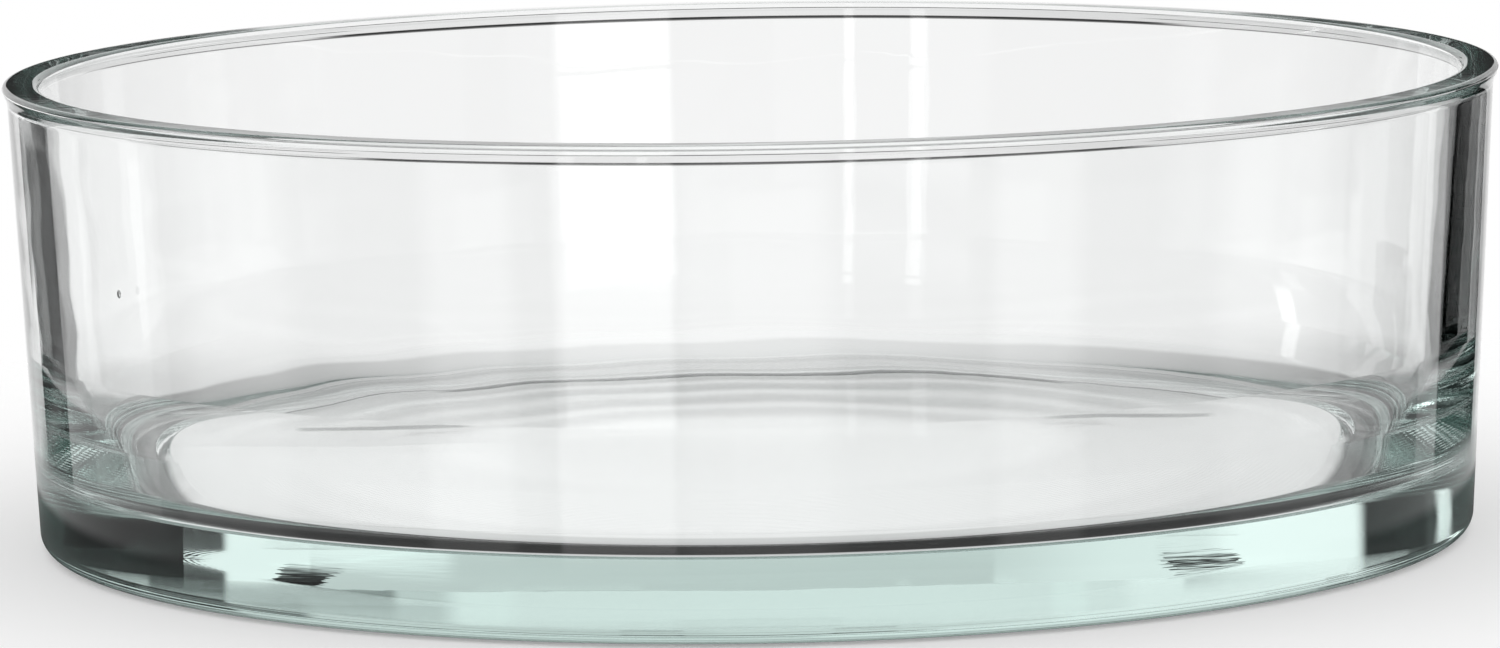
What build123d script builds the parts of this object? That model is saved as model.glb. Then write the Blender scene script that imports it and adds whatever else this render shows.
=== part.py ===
from build123d import *
import os

# Bowl for floating candles, pressed in one piece from clear glass.
# Everything is in millimetres. The origin is on the table, at the middle of
# the foot, and +Z points up through the open mouth.

# Overall size
rim_diameter = 250.0
bowl_height = 78.0

# Outside of the wall, which opens a little towards the rim
foot_diameter = 240.8
heel_rounding = 3.0

# Bead that runs round the outside of the rim, flaring out from the wall
bead_overhang = 0.8
bead_height = 2.5
rim_outer_chamfer = 0.8
rim_inner_rounding = 1.2

# Thick floor
floor_thickness = 12.5
floor_corner_rounding = 6.0

# Level thickness of the wall, which grows where it bends in towards the floor
wall_at_rim = 5.4
wall_at_bend = 6.4
wall_at_floor = 9.3
bend_height = 28.5
bend_rounding = 65.0

# Underside: a flat ring that stands on the table, round a shallow recess
standing_ring_width = 16.6
recess_depth = 0.6
recess_slope_width = 3.0

rim_radius = rim_diameter / 2
foot_radius = foot_diameter / 2
standing_ring_inner_radius = foot_radius - standing_ring_width
bead_underside = bowl_height - bead_height
bead_crease = (rim_radius - bead_overhang, bead_underside)


def outer_wall_radius(height):
    """Radius of the outside of the wall, carried on straight, at a height above the table."""
    draft = (rim_radius - bead_overhang - foot_radius) / bead_underside
    return foot_radius + draft * height


def underside_outline():
    """From the axis out across the recess, down its slope and over the standing ring."""
    return Polyline(
        (0, recess_depth),
        (standing_ring_inner_radius - recess_slope_width, recess_depth),
        (standing_ring_inner_radius, 0),
    )


def outside_outline():
    """From the standing ring round the heel and up the wall to the crease under the bead."""
    return FilletPolyline(
        (standing_ring_inner_radius, 0),
        (foot_radius, 0),
        bead_crease,
        radius=heel_rounding,
    )


def bead_outline():
    """From the crease out to the widest part of the bead and in to the top of the rim."""
    return Polyline(
        bead_crease,
        (rim_radius, bowl_height - rim_outer_chamfer),
        (rim_radius - rim_outer_chamfer, bowl_height),
    )


def inner_corner(height, wall):
    """Corner of the inside outline at a height, a level wall thickness in from the outside."""
    return (outer_wall_radius(height) - wall, height)


def inside_outline():
    """From the top of the rim down the inside of the wall and in across the floor to the axis."""
    corners = [
        (inner_corner(bowl_height, wall_at_rim), rim_inner_rounding),
        (inner_corner(bend_height, wall_at_bend), bend_rounding),
        (inner_corner(floor_thickness, wall_at_floor), floor_corner_rounding),
    ]
    first = (rim_radius - rim_outer_chamfer, bowl_height)
    last = (0, floor_thickness)
    return FilletPolyline(
        first,
        *[place for place, rounding in corners],
        last,
        radius=[rounding for place, rounding in corners],
    )


def glass_bowl():
    """The whole bowl, as its half section turned once round the axis."""
    outline = underside_outline() + outside_outline() + bead_outline() + inside_outline()
    along_axis = Line((0, floor_thickness), (0, recess_depth))
    half_section = Plane.XZ * make_face(outline + along_axis)
    return revolve(half_section, axis=Axis.Z)


os.makedirs("parts", exist_ok=True)
bowl = glass_bowl()
export_step(bowl, "parts/glass_bowl.step")
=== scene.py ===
import logging
import math
from collections.abc import Callable
from dataclasses import dataclass

import bmesh
import bpy
from mathutils import Matrix, Vector


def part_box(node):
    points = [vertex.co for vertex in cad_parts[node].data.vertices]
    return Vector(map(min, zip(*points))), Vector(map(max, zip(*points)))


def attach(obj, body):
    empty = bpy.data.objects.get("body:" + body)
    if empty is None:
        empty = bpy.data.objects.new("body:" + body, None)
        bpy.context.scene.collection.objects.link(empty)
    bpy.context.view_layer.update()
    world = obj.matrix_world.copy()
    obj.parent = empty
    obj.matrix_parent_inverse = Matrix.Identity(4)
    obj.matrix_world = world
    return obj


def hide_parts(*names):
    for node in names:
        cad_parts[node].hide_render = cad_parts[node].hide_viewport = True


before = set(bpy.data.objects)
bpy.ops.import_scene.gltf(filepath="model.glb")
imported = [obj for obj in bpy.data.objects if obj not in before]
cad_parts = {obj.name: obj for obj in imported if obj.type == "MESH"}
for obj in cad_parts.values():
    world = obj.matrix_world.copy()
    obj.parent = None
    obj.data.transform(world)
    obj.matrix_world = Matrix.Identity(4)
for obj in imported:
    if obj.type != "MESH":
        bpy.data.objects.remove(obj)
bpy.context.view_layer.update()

MM = 0.001
DEGREE = math.pi / 180
WHITE = (1.0, 1.0, 1.0, 1.0)

# how often a ray may bounce in the thick glass, and pass the clear edge of the table
GLASS_BOUNCES = 32
CLEAR_BOUNCES = 16

# the short step that keeps a straight run flat next to a rounding
EDGE_STEP = 0.12 * MM

log = logging.getLogger("floating_candle_bowl")

Point = tuple[float, float]


def eased(value: float, start: float, end: float) -> float:
    """A smooth step from nought to one.

    Args:
        value: what the step follows.
        start: where the step begins.
        end: where the step ends.

    Returns:
        The step's share.
    """
    share = min(max((value - start) / (end - start), 0.0), 1.0)
    return share * share * (3 - 2 * share)


@dataclass(frozen=True)
class Corner:
    """A corner of the half section, with the rounding that the mould gives it."""

    radius: float
    height: float
    rounding: float = 0.0

    def as_vector(self) -> Vector:
        """The corner as a point of the half section."""
        return Vector((self.radius, self.height))


@dataclass(frozen=True)
class Wave:
    """One slow wave of a pressed glass surface, round the bowl and along its half section."""

    height: float
    turns: int
    pitch: float
    phase: float = 0.0

    def at(self, turn: float, along: float) -> float:
        """How far the wave stands out at a turn round the axis and a distance along the section."""
        return self.height * math.sin(self.turns * turn + 2 * math.pi * along / self.pitch + self.phase)


@dataclass(frozen=True)
class WavyFace:
    """A face that cooled slightly wavy, from one place along the half section to another."""

    start: float
    end: float
    start_fade: float
    end_fade: float
    waves: tuple[Wave, ...]

    def lift(self, turn: float, along: float) -> float:
        """How far the face stands out.

        Args:
            turn: the angle round the axis.
            along: how far along the face, which is a radius underneath and a height on the wall.

        Returns:
            The distance, which is nought past both ends of the face.
        """
        begun = eased(along, self.start, self.start + self.start_fade)
        left = 1 - eased(along, self.end - self.end_fade, self.end)
        return begun * left * sum(wave.at(turn, along) for wave in self.waves)


@dataclass(frozen=True)
class Seed:
    """A small bubble that was caught in the glass, drawn out as the glass was pressed."""

    turn: float = 214 * DEGREE
    radius: float = 121.0 * MM
    height: float = 49.8 * MM
    half_width: float = 0.5 * MM
    half_length: float = 0.68 * MM
    steps_round: int = 24
    steps_up: int = 16

    def half_section(self) -> list[Point]:
        """Draws the bubble's half section, from its top down, so that its wall faces into it.

        Returns:
            The points of the outline, each a radius and a height from the bubble's middle.
        """
        tilts = [math.pi * step / self.steps_up for step in range(self.steps_up + 1)]
        return [(self.half_width * math.sin(tilt), self.half_length * math.cos(tilt)) for tilt in tilts]

    def place(self, radius: float, height: float, turn: float) -> Vector:
        """Puts a point of the half section round the bubble's own upright axis.

        Args:
            radius: the point's radius.
            height: the point's height from the bubble's middle.
            turn: the angle round the bubble's axis.

        Returns:
            The place in space.
        """
        aside = self.radius * math.cos(self.turn) + radius * math.cos(turn)
        back = self.radius * math.sin(self.turn) + radius * math.sin(turn)
        return Vector((aside, back, self.height + height))

    def add(self, shape: bmesh.types.BMesh) -> None:
        """Adds the bubble's wall.

        Args:
            shape: the bowl's mesh, whose faces already point outwards.
        """
        turn_round(shape, self.half_section(), self.steps_round, self.place)


class NodeSketch:
    """A node tree that is written from the top down, with short words for its usual nodes."""

    def __init__(self, tree: bpy.types.NodeTree) -> None:
        """Empties the tree.

        Args:
            tree: the material's or the world's node tree.
        """
        self.tree = tree
        tree.nodes.clear()

    def add(self, kind: str, **settings: object) -> bpy.types.Node:
        """Adds a node.

        Args:
            kind: the node's type name.
            settings: properties of the node, by name.

        Returns:
            The new node.
        """
        node = self.tree.nodes.new(kind)
        for name, value in settings.items():
            setattr(node, name, value)
        return node

    def feed(self, socket: bpy.types.NodeSocket, value: object) -> None:
        """Links another socket to this one, or sets this one to a plain value.

        Args:
            socket: the input that is fed.
            value: an output socket, a number or a colour.
        """
        if isinstance(value, bpy.types.NodeSocket):
            self.tree.links.new(value, socket)
        else:
            socket.default_value = value

    def maths(self, operation: str, *values: object) -> bpy.types.NodeSocket:
        """Works out a number.

        Args:
            operation: the name of the operation.
            values: its inputs, sockets or numbers.

        Returns:
            The result's socket.
        """
        node = self.add("ShaderNodeMath", operation=operation)
        for socket, value in zip(node.inputs, values):
            self.feed(socket, value)
        return node.outputs[0]

    def ramp(self, value: bpy.types.NodeSocket, start: float, end: float,
             low: float = 0.0, high: float = 1.0) -> bpy.types.NodeSocket:
        """A smooth step from one level to another.

        Args:
            value: what the step follows.
            start: where the step begins.
            end: where the step ends.
            low: the level before the step.
            high: the level after the step.

        Returns:
            The result's socket.
        """
        node = self.add("ShaderNodeMapRange", interpolation_type="SMOOTHSTEP")
        for socket, number in zip(node.inputs, (value, start, end, low, high)):
            self.feed(socket, number)
        return node.outputs[0]

    def blend(self, share: object, first: object, second: object) -> bpy.types.NodeSocket:
        """Goes from one level to another.

        Args:
            share: nought for the first level and one for the second.
            first: a level, or its socket.
            second: a level, or its socket.

        Returns:
            The blended level's socket.
        """
        step = self.maths("SUBTRACT", second, first)
        return self.maths("MULTIPLY_ADD", share, step, first)


@dataclass(frozen=True)
class PressedGlass:
    """Clear soda-lime glass, faintly green-blue where the light crosses much of it.

    Its skin is a little uneven, and the underside keeps the fine rings of the mould's turned plate.
    """

    ior: float = 1.52
    tint: tuple[float, float, float] = (0.35, 0.69, 0.61)
    tint_density: float = 2.6
    skin_pitch: float = 5 * MM
    skin_height: float = 0.002 * MM
    skin_detail: float = 1.0
    turning_pitch: float = 0.78 * MM
    turning_height: float = 0.0012 * MM
    turning_start: float = 60 * MM
    turning_end: float = 104 * MM
    turning_fade: float = 6 * MM
    turning_top: float = 3 * MM

    def relief(self, sketch: NodeSketch) -> bpy.types.NodeSocket:
        """Works out the height of the skin's unevenness and of the turned rings.

        Args:
            sketch: the material's node tree.

        Returns:
            The socket of the height, in metres.
        """
        place = sketch.add("ShaderNodeTexCoord").outputs["Object"]
        skin = sketch.add("ShaderNodeTexNoise")
        skin.inputs["Scale"].default_value = 1 / self.skin_pitch
        skin.inputs["Detail"].default_value = self.skin_detail
        sketch.feed(skin.inputs["Vector"], place)
        parts = sketch.add("ShaderNodeSeparateXYZ")
        sketch.feed(parts.inputs[0], place)
        squares = [sketch.maths("MULTIPLY", parts.outputs[axis], parts.outputs[axis]) for axis in "XY"]
        radius = sketch.maths("SQRT", sketch.maths("ADD", *squares))
        ring = sketch.maths("SINE", sketch.maths("MULTIPLY", radius, 2 * math.pi / self.turning_pitch))
        begun = sketch.ramp(radius, self.turning_start, self.turning_start + self.turning_fade)
        left = sketch.ramp(radius, self.turning_end - self.turning_fade, self.turning_end, 1.0, 0.0)
        below = sketch.maths("LESS_THAN", parts.outputs["Z"], self.turning_top)
        share = sketch.maths("MULTIPLY", sketch.maths("MULTIPLY", begun, left), below)
        rings = sketch.maths("MULTIPLY", sketch.maths("MULTIPLY", ring, share), self.turning_height)
        return sketch.maths("MULTIPLY_ADD", skin.outputs[0], self.skin_height, rings)

    def material(self) -> bpy.types.Material:
        """Makes the glass.

        Returns:
            The finished material.
        """
        material = bpy.data.materials.new("clear_glass")
        material.use_nodes = True
        sketch = NodeSketch(material.node_tree)
        shader = sketch.add("ShaderNodeBsdfPrincipled")
        shader.inputs["Base Color"].default_value = WHITE
        shader.inputs["Roughness"].default_value = 0.0
        shader.inputs["IOR"].default_value = self.ior
        shader.inputs["Transmission Weight"].default_value = 1.0
        # the relief is already in metres, so the bump takes it as it is
        bump = sketch.add("ShaderNodeBump")
        bump.inputs["Distance"].default_value = 1.0
        sketch.feed(bump.inputs["Height"], self.relief(sketch))
        sketch.feed(shader.inputs["Normal"], bump.outputs[0])
        body = sketch.add("ShaderNodeVolumeAbsorption")
        body.inputs["Color"].default_value = (*self.tint, 1.0)
        body.inputs["Density"].default_value = self.tint_density
        output = sketch.add("ShaderNodeOutputMaterial")
        sketch.feed(output.inputs["Surface"], shader.outputs[0])
        sketch.feed(output.inputs["Volume"], body.outputs[0])
        return material


@dataclass(frozen=True)
class PaintedTableRing:
    """A ring of painted light and shade on the table, which only glass shows, from one radius outwards.

    It has a level on the near side of the bowl, at its left and right, and on the far side.
    """

    start: float
    soft: float
    near: float
    aside: float
    far: float


@dataclass(frozen=True)
class PlainTable:
    """A plain pale table top, which keeps the bowl's shadow.

    Glass shows it in rings of painted light and shade: a painted glow under the floor, painted grey rings
    towards the far side, a nearly black painted shadow under the near half of the standing ring, and paler
    outside and behind it.
    """

    colour: float = 0.8
    lift: float = 0.22
    # where the top ends in the backdrop, for the camera and for the glass
    fade_start: float = 0.21
    fade_end: float = 0.30
    glass_fade_start: float = 0.158
    glass_fade_end: float = 0.19
    drop: float = 0.3 * MM
    # a painted glow on the table under the middle of the floor, seen only through the glass
    painted_glow_under_floor: float = 1.08
    segments: int = 96
    # where each ring of painted light and shade starts, how soft its edge is, and its level near, aside and
    # far
    painted_rings: tuple[PaintedTableRing, ...] = (
        PaintedTableRing(54 * MM, 10 * MM, 1.05, 0.9, 0.5),
        PaintedTableRing(63 * MM, 4 * MM, 1.05, 0.9, 0.9),
        PaintedTableRing(69 * MM, 4 * MM, 1.05, 0.9, 0.3),
        PaintedTableRing(77 * MM, 4 * MM, 1.05, 0.9, 0.95),
        PaintedTableRing(83 * MM, 4 * MM, 0.9, 0.9, 0.15),
        PaintedTableRing(91 * MM, 3 * MM, 0.6, 0.95, 1.0),
        PaintedTableRing(95 * MM, 3 * MM, 0.6, 0.95, 0.05),
        PaintedTableRing(103 * MM, 2 * MM, 0.02, 0.02, 0.6),
        PaintedTableRing(116 * MM, 4 * MM, 0.1, 0.02, 0.8),
        PaintedTableRing(122 * MM, 4 * MM, 0.4, 0.1, 0.85),
        PaintedTableRing(145 * MM, 10 * MM, 0.3, 0.5, 1.0),
    )

    def painted_light_level(self, sketch: NodeSketch, place: bpy.types.NodeSocket,
                    reach: bpy.types.NodeSocket) -> bpy.types.NodeSocket:
        """The table's painted light and shade where glass shows it.

        Args:
            sketch: the material's node tree.
            place: the point on the table.
            reach: its distance from the bowl's axis.

        Returns:
            The level's socket.
        """
        parts = sketch.add("ShaderNodeSeparateXYZ")
        sketch.feed(parts.inputs[0], place)
        # the square of the sine of the turn is the share that the near or the far level has
        back = sketch.maths("DIVIDE", parts.outputs["Y"], reach)
        far = sketch.maths("POWER", sketch.maths("MAXIMUM", back, 0.0), 2.0)
        near = sketch.maths("POWER", sketch.maths("MINIMUM", back, 0.0), 2.0)
        # the painted glow under the middle of the floor, before the rings
        levels = [self.painted_glow_under_floor] * 3
        # each ring paints its light or shade over the ones inside it
        for zone in self.painted_rings:
            share = sketch.ramp(reach, zone.start - zone.soft / 2, zone.start + zone.soft / 2)
            following = (zone.aside, zone.near, zone.far)
            levels = [sketch.blend(share, level, new) for level, new in zip(levels, following)]
        aside, in_front, behind = levels
        return sketch.blend(far, sketch.blend(near, aside, in_front), behind)

    def material(self) -> bpy.types.Material:
        """Makes the table's finish: a pale matt top, brought up to white, that ends in the backdrop, with
        painted light and shade in its place where glass sees it.

        Returns:
            The finished material.
        """
        material = bpy.data.materials.new("table_top")
        material.use_nodes = True
        sketch = NodeSketch(material.node_tree)
        path = sketch.add("ShaderNodeLightPath")
        place = sketch.add("ShaderNodeNewGeometry")
        length = sketch.add("ShaderNodeVectorMath", operation="LENGTH")
        sketch.feed(length.inputs[0], place.outputs["Position"])
        reach = length.outputs["Value"]
        matt = sketch.add("ShaderNodeBsdfDiffuse")
        matt.inputs["Color"].default_value = (self.colour, self.colour, self.colour, 1.0)
        lift = sketch.add("ShaderNodeEmission")
        lifted = sketch.maths("MULTIPLY", path.outputs["Is Camera Ray"], self.lift)
        sketch.feed(lift.inputs["Strength"], lifted)
        top = sketch.add("ShaderNodeAddShader")
        sketch.feed(top.inputs[0], matt.outputs[0])
        sketch.feed(top.inputs[1], lift.outputs[0])
        # glass sees a painted emission of light and shade in place of the lit top
        painted_emission = sketch.add("ShaderNodeEmission")
        sketch.feed(painted_emission.inputs["Strength"], self.painted_light_level(sketch, place.outputs["Position"], reach))
        glassy = sketch.maths("MAXIMUM", path.outputs["Is Glossy Ray"], path.outputs["Is Transmission Ray"])
        seen = sketch.add("ShaderNodeMixShader")
        sketch.feed(seen.inputs[0], glassy)
        sketch.feed(seen.inputs[1], top.outputs[0])
        sketch.feed(seen.inputs[2], painted_emission.outputs[0])
        fade = sketch.blend(glassy, sketch.ramp(reach, self.fade_start, self.fade_end),
                            sketch.ramp(reach, self.glass_fade_start, self.glass_fade_end))
        clear = sketch.add("ShaderNodeBsdfTransparent")
        mix = sketch.add("ShaderNodeMixShader")
        sketch.feed(mix.inputs[0], fade)
        sketch.feed(mix.inputs[1], seen.outputs[0])
        sketch.feed(mix.inputs[2], clear.outputs[0])
        output = sketch.add("ShaderNodeOutputMaterial")
        sketch.feed(output.inputs["Surface"], mix.outputs[0])
        return material

    def build(self) -> bpy.types.Object:
        """Makes the table top under the bowl.

        Returns:
            The table's object.
        """
        mesh = bpy.data.meshes.new("table_top")
        shape = bmesh.new()
        bmesh.ops.create_circle(shape, cap_ends=True, segments=self.segments, radius=self.fade_end)
        shape.to_mesh(mesh)
        shape.free()
        mesh.materials.append(self.material())
        table = bpy.data.objects.new("table_top", mesh)
        table.location = (0, 0, -self.drop)
        bpy.context.scene.collection.objects.link(table)
        return table


@dataclass
class GlassBowl:
    """The bowl itself: one casting of clear glass, with its roundings and its pressed surface.

    Lengths are in metres. The rim and the height come from the frame.
    """

    rim_radius: float
    height: float
    foot_radius: float = 120.4 * MM
    heel_rounding: float = 3.0 * MM
    bead_overhang: float = 0.8 * MM
    bead_height: float = 2.5 * MM
    bead_belly_height: float = 1.5 * MM
    crease_rounding: float = 4.0 * MM
    belly_rounding: float = 1.5 * MM
    rim_outer_rounding: float = 0.8 * MM
    rim_inner_rounding: float = 1.2 * MM
    floor_thickness: float = 12.5 * MM
    floor_corner_rounding: float = 6.0 * MM
    wall_at_rim: float = 5.4 * MM
    wall_at_bend: float = 6.4 * MM
    wall_at_floor: float = 9.3 * MM
    bend_height: float = 28.5 * MM
    bend_rounding: float = 65.0 * MM
    ring_width: float = 16.6 * MM
    recess_depth: float = 0.6 * MM
    recess_slope: float = 3.0 * MM
    recess_rounding: float = 2.0 * MM
    segments: int = 480
    longest_step: float = 2 * MM
    rounding_step: float = 5 * DEGREE
    underside: WavyFace = WavyFace(start=38 * MM, end=101 * MM, start_fade=20 * MM, end_fade=4 * MM, waves=(
        Wave(height=0.03 * MM, turns=0, pitch=15.5 * MM, phase=2.736),
        Wave(height=0.008 * MM, turns=7, pitch=60 * MM, phase=0.4),
        Wave(height=0.006 * MM, turns=12, pitch=34 * MM, phase=2.1),
    ))
    outside: WavyFace = WavyFace(start=4 * MM, end=74 * MM, start_fade=6 * MM, end_fade=6 * MM, waves=(
        Wave(height=0.005 * MM, turns=14, pitch=17 * MM),
        Wave(height=0.008 * MM, turns=5, pitch=41 * MM, phase=1.2),
    ))
    inside: WavyFace = WavyFace(start=22 * MM, end=76 * MM, start_fade=12 * MM, end_fade=6 * MM, waves=(
        Wave(height=0.006 * MM, turns=9, pitch=20 * MM),
        Wave(height=0.004 * MM, turns=23, pitch=11 * MM, phase=0.9),
    ))
    seed: Seed = Seed()
    finish: PressedGlass = PressedGlass()

    def outer_radius(self, height: float) -> float:
        """Radius of the outside of the wall, carried on straight, at a height above the table."""
        draft = (self.rim_radius - self.bead_overhang - self.foot_radius) / (self.height - self.bead_height)
        return self.foot_radius + draft * height

    def inner_corner(self, height: float, wall: float, rounding: float) -> Corner:
        """A corner of the inside, a level wall thickness in from the outside."""
        return Corner(self.outer_radius(height) - wall, height, rounding)

    def half_section(self) -> list[Point]:
        """Draws the half section, from the middle of the underside round to the middle of the floor.

        Returns:
            The points of the outline, each a radius and a height.
        """
        ring = self.foot_radius - self.ring_width
        crease = self.height - self.bead_height
        belly = crease + self.bead_belly_height
        corners = [
            Corner(0.0, self.recess_depth),
            Corner(ring - self.recess_slope, self.recess_depth, self.recess_rounding),
            Corner(ring, 0.0, self.recess_rounding),
            Corner(self.foot_radius, 0.0, self.heel_rounding),
            Corner(self.rim_radius - self.bead_overhang, crease, self.crease_rounding),
            Corner(self.rim_radius, belly, self.belly_rounding),
            Corner(self.rim_radius, self.height, self.rim_outer_rounding),
            self.inner_corner(self.height, self.wall_at_rim, self.rim_inner_rounding),
            self.inner_corner(self.bend_height, self.wall_at_bend, self.bend_rounding),
            self.inner_corner(self.floor_thickness, self.wall_at_floor, self.floor_corner_rounding),
            Corner(0.0, self.floor_thickness),
        ]
        return rounded_outline(corners, self.longest_step, self.rounding_step)

    def place(self, radius: float, height: float, turn: float) -> Vector:
        """Puts a point of the half section round the axis, with its face's waves.

        Args:
            radius: the point's radius.
            height: the point's height.
            turn: the angle round the axis.

        Returns:
            The place in space.
        """
        if radius > self.outer_radius(height) - self.wall_at_rim / 2:
            radius += self.outside.lift(turn, height)
        elif height <= self.recess_depth:
            height += self.underside.lift(turn, radius)
        else:
            radius += self.inside.lift(turn, height)
        return Vector((radius * math.cos(turn), radius * math.sin(turn), height))

    def build(self) -> bpy.types.Object:
        """Turns the half section round the axis and dresses it.

        Returns:
            The bowl's object.
        """
        mesh = bpy.data.meshes.new("pressed_glass_bowl")
        shape = bmesh.new()
        turn_round(shape, self.half_section(), self.segments, self.place)
        bmesh.ops.recalc_face_normals(shape, faces=shape.faces)
        self.seed.add(shape)
        for face in shape.faces:
            face.smooth = True
        shape.to_mesh(mesh)
        shape.free()
        mesh.materials.append(self.finish.material())
        bowl = bpy.data.objects.new("pressed_glass_bowl", mesh)
        bpy.context.scene.collection.objects.link(bowl)
        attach(bowl, "root")
        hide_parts("glass_bowl")
        return bowl


def rounded_outline(corners: list[Corner], longest: float, turn: float) -> list[Point]:
    """Rounds the corners of an outline and divides its straight runs.

    Args:
        corners: the outline's corners, with the first and the last left sharp.
        longest: the longest step along a straight run.
        turn: the most that a rounding turns in one step.

    Returns:
        The points of the outline.
    """
    points = [corners[0].as_vector()]
    for before, corner, after in zip(corners, corners[1:], corners[2:]):
        into = (corner.as_vector() - before.as_vector()).normalized()
        out = (after.as_vector() - corner.as_vector()).normalized()
        angle = into.angle_signed(out)
        cut = corner.rounding * math.tan(abs(angle) / 2)
        start = corner.as_vector() - into * cut
        points += straight_run(points[-1], start, longest)
        side = Vector((into.y, -into.x)) * math.copysign(1.0, angle)
        centre = start + side * corner.rounding
        steps = max(2, math.ceil(abs(angle) / turn))
        for step in range(1, steps + 1):
            arm = start - centre
            arm.rotate(Matrix.Rotation(-angle * step / steps, 2))
            points.append(centre + arm)
    points += straight_run(points[-1], corners[-1].as_vector(), longest)
    return [(point.x, point.y) for point in points]


def straight_run(start: Vector, end: Vector, longest: float) -> list[Vector]:
    """Divides a straight run, with a short step at each end so that it shades flat.

    Args:
        start: where the run begins; this point isn't given again.
        end: where the run ends.
        longest: the longest step.

    Returns:
        The points after the start, up to the end.
    """
    length = (end - start).length
    hold = min(EDGE_STEP, length / 4)
    steps = max(1, math.ceil((length - 2 * hold) / longest))
    shares = [hold / length + (1 - 2 * hold / length) * step / steps for step in range(steps + 1)]
    return [start.lerp(end, share) for share in (*shares, 1.0)]


def turn_round(shape: bmesh.types.BMesh, outline: list[Point], segments: int,
               place: Callable[[float, float, float], Vector]) -> None:
    """Turns an outline that begins and ends on the axis once round it.

    Args:
        shape: the mesh that is added to.
        outline: the points of the outline.
        segments: how many steps the turn has.
        place: gives the place of a point from its radius, its height and the turn.
    """
    first = shape.verts.new(place(*outline[0], 0.0))
    last = shape.verts.new(place(*outline[-1], 0.0))
    rings = []
    for radius, height in outline[1:-1]:
        turns = [2 * math.pi * step / segments for step in range(segments)]
        rings.append([shape.verts.new(place(radius, height, turn)) for turn in turns])
    for step in range(segments):
        following = (step + 1) % segments
        shape.faces.new((first, rings[0][following], rings[0][step]))
        for near, far in zip(rings, rings[1:]):
            shape.faces.new((near[step], near[following], far[following], far[step]))
        shape.faces.new((rings[-1][step], rings[-1][following], last))


@dataclass(frozen=True)
class LightPanel:
    """A soft-edged board in the studio, pale or dark, by the directions that it fills.

    Azimuth 0 lies behind the bowl and 90 degrees to its right. A board may come again after a number of
    degrees, and it may lean to the right as it goes up.
    """

    azimuth: float
    width: float
    bottom: float
    top: float
    level: float
    soft: float = 1.5 * DEGREE
    every: float = 360 * DEGREE
    lean: float = 0.0

    def cover(self, sketch: NodeSketch, azimuth: bpy.types.NodeSocket,
              elevation: bpy.types.NodeSocket) -> bpy.types.NodeSocket:
        """How far the board fills a direction.

        Args:
            sketch: the world's node tree.
            azimuth: the direction's azimuth.
            elevation: the direction's elevation.

        Returns:
            The socket of a share from nought to one.
        """
        above = sketch.maths("SUBTRACT", elevation, (self.bottom + self.top) / 2)
        aside = sketch.maths("SUBTRACT", azimuth, self.azimuth)
        if self.lean:
            aside = sketch.maths("SUBTRACT", aside, sketch.maths("MULTIPLY", above, self.lean))
        aside = sketch.maths("ABSOLUTE", sketch.maths("WRAP", aside, self.every / 2, -self.every / 2))
        across = sketch.ramp(aside, (self.width - self.soft) / 2, (self.width + self.soft) / 2, 1.0, 0.0)
        above = sketch.maths("ABSOLUTE", above)
        reach = (self.top - self.bottom) / 2
        upright = sketch.ramp(above, reach - self.soft / 2, reach + self.soft / 2, 1.0, 0.0)
        return sketch.maths("MULTIPLY", across, upright)


def board(left: float, right: float, bottom: float, top: float, level: float, soft: float = 1.5,
          every: float = 360.0, lean: float = 0.0) -> LightPanel:
    """A board from its edges in degrees.

    Args:
        left: the azimuth of its left edge.
        right: the azimuth of its right edge.
        bottom: the elevation of its lower edge.
        top: the elevation of its upper edge.
        level: how bright it is.
        soft: the width of its soft edges.
        every: the azimuth after which it comes again.
        lean: how far it leans to the right for each degree of its height.

    Returns:
        The board.
    """
    return LightPanel((left + right) / 2 * DEGREE, (right - left) * DEGREE, bottom * DEGREE, top * DEGREE,
                      level, soft * DEGREE, every * DEGREE, lean)


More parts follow.
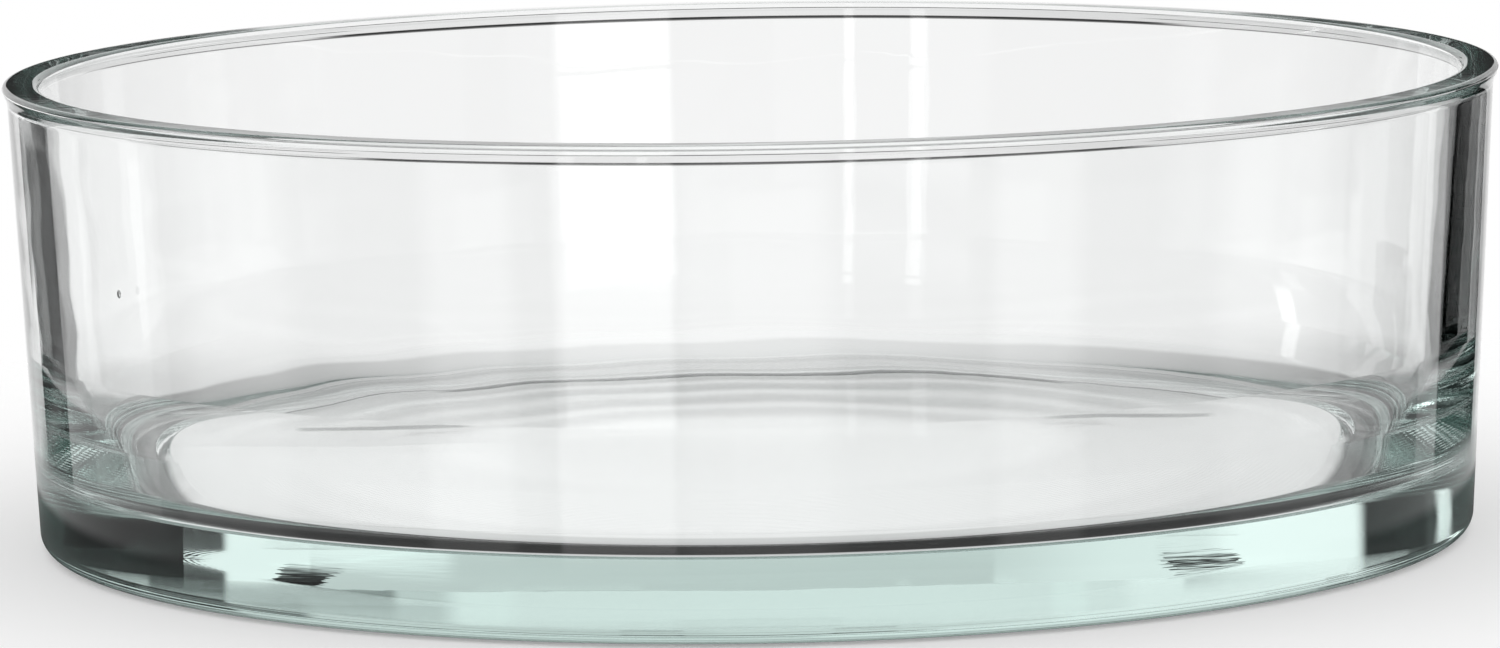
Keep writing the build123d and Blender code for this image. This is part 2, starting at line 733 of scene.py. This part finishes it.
@dataclass(frozen=True)
class Studio:
    """The light round the table, as boards that stand before each other in the order given.

    Glass shows white sweeps behind the bowl, seen from each side, with dark gaps between them that draw
    its edges. Everything else is lit by a plain white sky.
    """

    plain_level: float = 1.0
    backdrop_level: float = 1.0
    room_level: float = 0.32
    # the left, right, lower and upper edges, the level, and how soft the edges are
    boards: tuple[LightPanel, ...] = (
        # the dark right side of the room, round to the camera, and its dark left side
        board(50, 176, -1, 25, 0.03, 2),
        board(-139, -44, -8.5, 31, 0.05, 4),
        # the wide pale wall behind the table, greyer at its left, with a bright patch and a pale foot
        board(-44, 36, -2.5, 30, 0.76, 1.5),
        board(-45, -24, -2.5, 20, 0.6, 2.5),
        board(-22, -3, 9.4, 18, 1.0, 2),
        board(-20, 2, -2.5, 8, 0.85, 3),
        # a broad glow on its left half, and dark screens at its two ends
        board(-48, -15, -1, 19, 1.05, 10),
        board(34, 82, -4, 17, 0.0, 0.8),
        board(-58, -43.5, 5.5, 12, 0.0, 2.5),
        # bright strips beside the screens, which draw the pale glass of the thick base
        board(16, 34, 7, 11, 1.15, 1.5),
        board(28, 39.3, 8.9, 9.12, 1.15, 0.12),
        board(-43.5, -27, 7, 11.5, 1.25, 3),
        # a grey strip between them, and two leaning cards, which draw the dark strokes in the base
        board(-12, 26, 9.0, 9.9, 0.76, 0.4),
        board(25, 29.5, 9.12, 9.45, 0.0, 0.25, lean=8),
        board(-29, -23, 9.08, 9.17, 0.0, 0.1, lean=-12),
        # small dark cards low behind the bowl on each side, which draw the ends of the rim
        board(-6.8, -3.6, 4.9, 5.8, 0.04, 0.4, every=45),
        board(3.6, 6.8, 4.9, 5.8, 0.04, 0.4, every=45),
        # the far table, darker towards the camera
        board(-180, 180, -90, -5.6, 0.7, 1.2),
        board(-180, -75, -90, -5.6, 0.35, 4),
        board(75, 180, -90, -5.6, 0.35, 4),
        # bright pools at its left and a dim one at its right
        board(-46, -9, -9.2, -1.7, 1.1, 0.8),
        board(-72, -41.5, -20, -7.6, 1.2, 1),
        board(44, 72, -20, -7.6, 0.4, 1),
        # dark gaps at its left and right, which draw the dark bands at the ends of the wall
        board(-41.5, -27.5, -9.3, -7, 0.08, 0.6),
        board(-41.5, -21, -30, -9.3, 0.08, 1),
        board(-41.5, -24, -8, -6.7, 0.08, 0.5),
        board(19.5, 44, -24, -6, 0.0, 1),
        board(26, 46, -7.4, 6, 0.15, 2),
        # white sweeps, one behind the bowl for each side that it is seen from
        board(-20, 16, -60, -4, 0.95, 2),
        board(-12, 12, -60, -4, 0.98, 8, every=90),
        board(44, 52, -60, -4, 0.9, 1),
        board(-52, -41.5, -60, -4, 0.98, 1),
        board(128, 142, -60, -4, 0.98, 3),
        board(-142, -128, -60, -4, 0.98, 3),
        # dark lines on each side, where the far edge of the table meets the wall
        board(-8, 14, -4.2, -3.2, 0.2, 0.7, every=45),
        board(-4, 4, -3.2, -0.2, 0.04, 0.7, every=45),
        # a soft box beside the camera, and on its other side a low one with two bright strips
        board(147, 166.5, -12, 12, 1.9, 1.5),
        board(-167.5, -149.5, -20, -9, 1.7, 1.5),
        board(-164, -162.4, -12, 14, 2.2, 0.6),
        board(-152.6, -150, -12, 14, 2.2, 0.6),
        # two leaning lamps at the left, seen low on the right of the wall and in the end of the base
        board(-72, -67, 1.5, 7.2, 3.2, 1.5, lean=1),
        board(-67, -61.5, 8, 10.5, 1.7, 2.5, lean=0.6),
    )

    def shown_light(self, sketch: NodeSketch) -> bpy.types.NodeSocket:
        """The light that glass shows in a direction.

        Args:
            sketch: the world's node tree.

        Returns:
            The light's socket.
        """
        towards = sketch.add("ShaderNodeTexCoord")
        parts = sketch.add("ShaderNodeSeparateXYZ")
        sketch.feed(parts.inputs[0], towards.outputs["Generated"])
        azimuth = sketch.maths("ARCTAN2", parts.outputs["X"], parts.outputs["Y"])
        elevation = sketch.maths("ARCSINE", parts.outputs["Z"])
        light = self.room_level
        for panel in self.boards:
            light = sketch.blend(panel.cover(sketch, azimuth, elevation), light, panel.level)
        return light

    def build(self) -> bpy.types.World:
        """Makes the world.

        Returns:
            The world.
        """
        world = bpy.data.worlds.new("studio")
        bpy.context.scene.world = world
        world.use_nodes = True
        sketch = NodeSketch(world.node_tree)
        path = sketch.add("ShaderNodeLightPath")
        glassy = sketch.maths("MAXIMUM", path.outputs["Is Glossy Ray"], path.outputs["Is Transmission Ray"])
        level = sketch.blend(glassy, self.plain_level, self.shown_light(sketch))
        level = sketch.blend(path.outputs["Is Camera Ray"], level, self.backdrop_level)
        light = sketch.add("ShaderNodeBackground")
        light.inputs["Color"].default_value = WHITE
        sketch.feed(light.inputs["Strength"], level)
        output = sketch.add("ShaderNodeOutputWorld")
        sketch.feed(output.inputs["Surface"], light.outputs[0])
        return world


@dataclass(frozen=True)
class PhotoCamera:
    """The camera at the photograph's viewing angle, a little above the rim."""

    lens: float = 190.92
    sensor: float = 36.0
    distance: float = 1.3443
    elevation: float = 8.836 * DEGREE
    roll: float = -0.91 * DEGREE
    target: tuple[float, float, float] = (-0.656 * MM, 0.0, 34.494 * MM)

    def build(self) -> bpy.types.Object:
        """Makes the scene's camera.

        Returns:
            The camera's object.
        """
        data = bpy.data.cameras.new("photo_camera")
        data.lens = self.lens
        data.sensor_width = self.sensor
        camera = bpy.data.objects.new("photo_camera", data)
        place = Vector((0, -math.cos(self.elevation), math.sin(self.elevation))) * self.distance
        forward = (Vector(self.target) - place).normalized()
        level = forward.cross(Vector((0, 0, 1))).normalized()
        upright = level.cross(forward)
        right = level * math.cos(self.roll) + upright * math.sin(self.roll)
        up = upright * math.cos(self.roll) - level * math.sin(self.roll)
        turned = Matrix((right, up, -forward)).transposed().to_4x4()
        camera.matrix_world = Matrix.Translation(place) @ turned
        bpy.context.scene.collection.objects.link(camera)
        bpy.context.scene.camera = camera
        return camera


def set_light_paths(scene: bpy.types.Scene) -> None:
    """Lets a ray cross the thick glass as often as it has to, and keeps colours as they are written.

    Args:
        scene: the scene that is rendered.
    """
    scene.view_settings.view_transform = "Standard"
    scene.cycles.max_bounces = GLASS_BOUNCES
    scene.cycles.transmission_bounces = GLASS_BOUNCES
    scene.cycles.glossy_bounces = GLASS_BOUNCES
    scene.cycles.transparent_max_bounces = CLEAR_BOUNCES


def main() -> None:
    """Builds the bowl, the table and the studio in order."""
    logging.basicConfig(level=logging.INFO)
    low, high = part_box("glass_bowl")
    bowl = GlassBowl(rim_radius=min(-low.x, -low.y, high.x, high.y), height=high.z).build()
    log.info("bowl: %d faces", len(bowl.data.polygons))
    table = PlainTable().build()
    log.info("table top: %s", table.name)
    world = Studio().build()
    log.info("studio: %s", world.name)
    camera = PhotoCamera().build()
    log.info("camera: %.1f mm lens", camera.data.lens)
    set_light_paths(bpy.context.scene)


if __name__ == "__main__":
    main()
